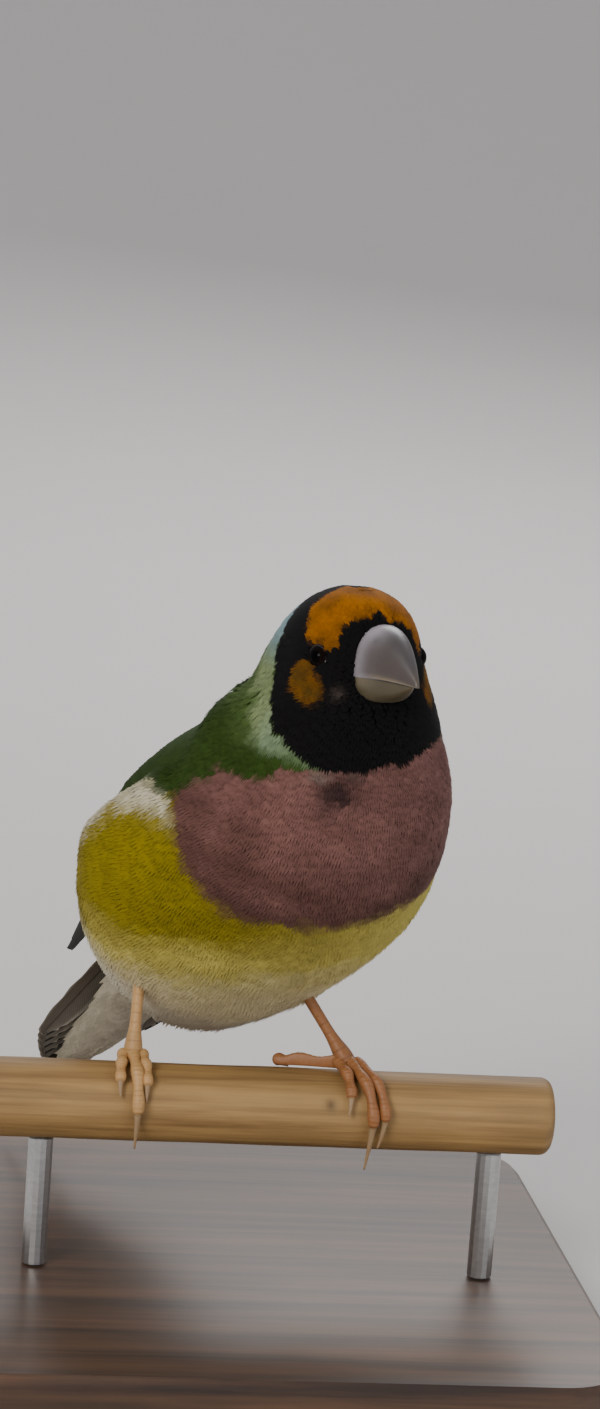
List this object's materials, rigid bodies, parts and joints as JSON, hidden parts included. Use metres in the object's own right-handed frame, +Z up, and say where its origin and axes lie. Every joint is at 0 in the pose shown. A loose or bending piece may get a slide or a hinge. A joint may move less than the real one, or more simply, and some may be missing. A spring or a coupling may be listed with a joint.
{
  "type": "gouldian finch",
  "caption": "Life-size Gouldian finch, fluffed up with its tail hanging behind, gripping a short round wooden perch on two rods above a flat base.",
  "frame": {"origin": "the middle of the base's flat underside, on the floor", "axes": "+Z is up, the perch runs along X, the bird faces -Y turned 20 degrees towards +X, and its tail hangs towards +Y"},
  "size_m": [0.086, 0.094, 0.0976],
  "materials": {
    "mask_feathers": "matt",
    "body_feathers": "matt",
    "collar_feathers": "matt",
    "wing_feathers": "satin",
    "tail_feathers": "satin",
    "bill_horn": "satin",
    "eye": "gloss",
    "leg_skin": "satin",
    "perch_wood": "worn",
    "base_wood": "satin",
    "rod_steel": "brushed"
  },
  "bodies": {
    "root": {"head": "mask_feathers", "neck": "collar_feathers", "torso": "body_feathers", "bill_upper": "bill_horn", "bill_lower": "bill_horn", "eye_left": "eye", "eye_right": "eye", "wing_left": "wing_feathers", "wing_right": "wing_feathers", "tail": "tail_feathers", "leg_left": "leg_skin", "leg_right": "leg_skin", "perch": "perch_wood", "stand_rod_left": "rod_steel", "stand_rod_right": "rod_steel", "stand_base": "base_wood"}
  },
  "joints": []
}
